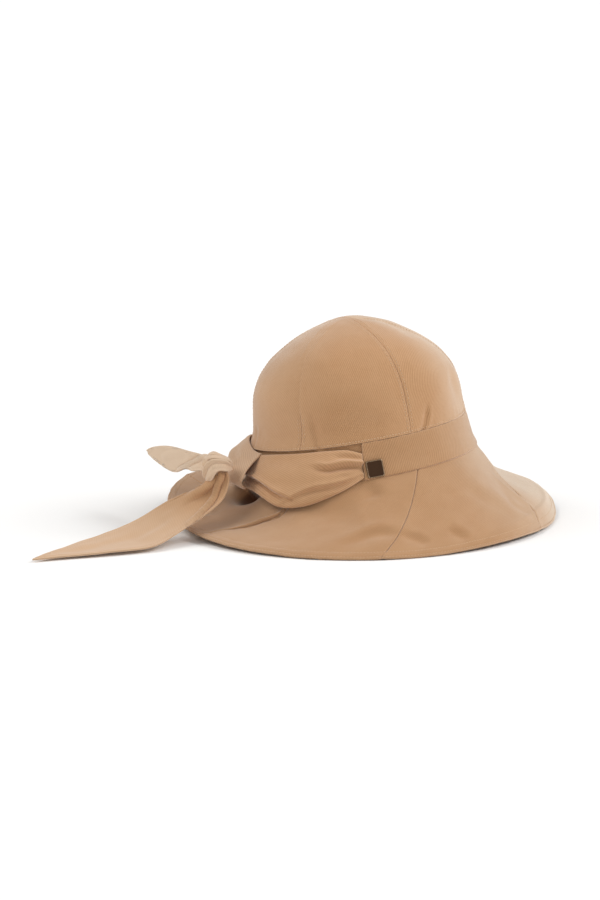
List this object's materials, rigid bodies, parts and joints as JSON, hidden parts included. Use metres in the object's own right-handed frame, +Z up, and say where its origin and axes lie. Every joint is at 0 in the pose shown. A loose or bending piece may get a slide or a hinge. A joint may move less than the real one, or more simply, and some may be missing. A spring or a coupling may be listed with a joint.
{
  "type": "cloche hat",
  "caption": "Soft cloche hat with a panelled crown, a wavy downturned brim, a band with a small metal plate, and a sash knotted at the back with loose tails.",
  "frame": {"origin": "bottom centre of the bounding box, on the table the brim stands on", "axes": "+X towards the hat's front, away from the knot; +Y towards the wearer's left; +Z up"},
  "size_m": [0.4632, 0.2978, 0.1656],
  "materials": {
    "twill": "matt tan cotton twill",
    "aged_brass": "dark antique brass"
  },
  "bodies": {
    "root": {"crown_panel_1": "twill", "crown_panel_2": "twill", "crown_panel_3": "twill", "crown_panel_4": "twill", "crown_panel_5": "twill", "crown_panel_6": "twill", "band_front": "twill", "band_back": "twill", "brim_panel_1": "twill", "brim_panel_2": "twill", "brim_panel_3": "twill", "brim_panel_4": "twill", "brim_panel_5": "twill", "brim_panel_6": "twill", "sash_near": "twill", "sash_far": "twill", "knot": "twill", "tail_long": "twill", "tail_short": "twill", "badge": "aged_brass"}
  },
  "joints": []
}
